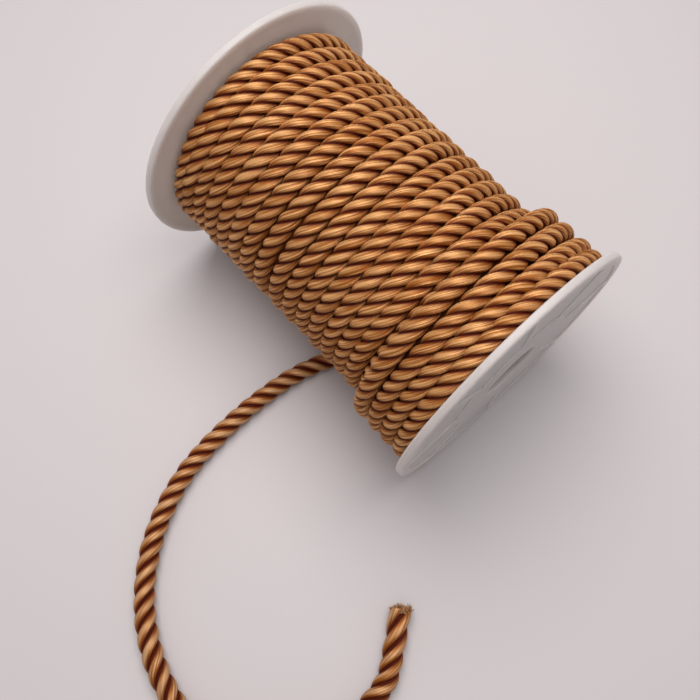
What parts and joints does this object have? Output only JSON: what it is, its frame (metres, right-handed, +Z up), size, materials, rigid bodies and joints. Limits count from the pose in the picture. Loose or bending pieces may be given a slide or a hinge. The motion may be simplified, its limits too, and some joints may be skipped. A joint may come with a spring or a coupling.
{
  "type": "braided cord on a spool",
  "caption": "Golden brown twisted cord wound on a white spool that lies on its side, with a loose end curving out across the surface.",
  "frame": {"origin": "on the surface, under the middle of the spool", "axes": "+X along the spool's axis, towards the flange that the second layer of turns lies against; +Z up; the loose end leaves towards -Y"},
  "size_m": [0.1348, 0.1575, 0.0757],
  "materials": {
    "white_plastic": "satin",
    "satin_cord": "satin"
  },
  "bodies": {
    "root": {"spool": "white_plastic", "winding": "satin_cord", "loose_end": "satin_cord"}
  },
  "joints": []
}
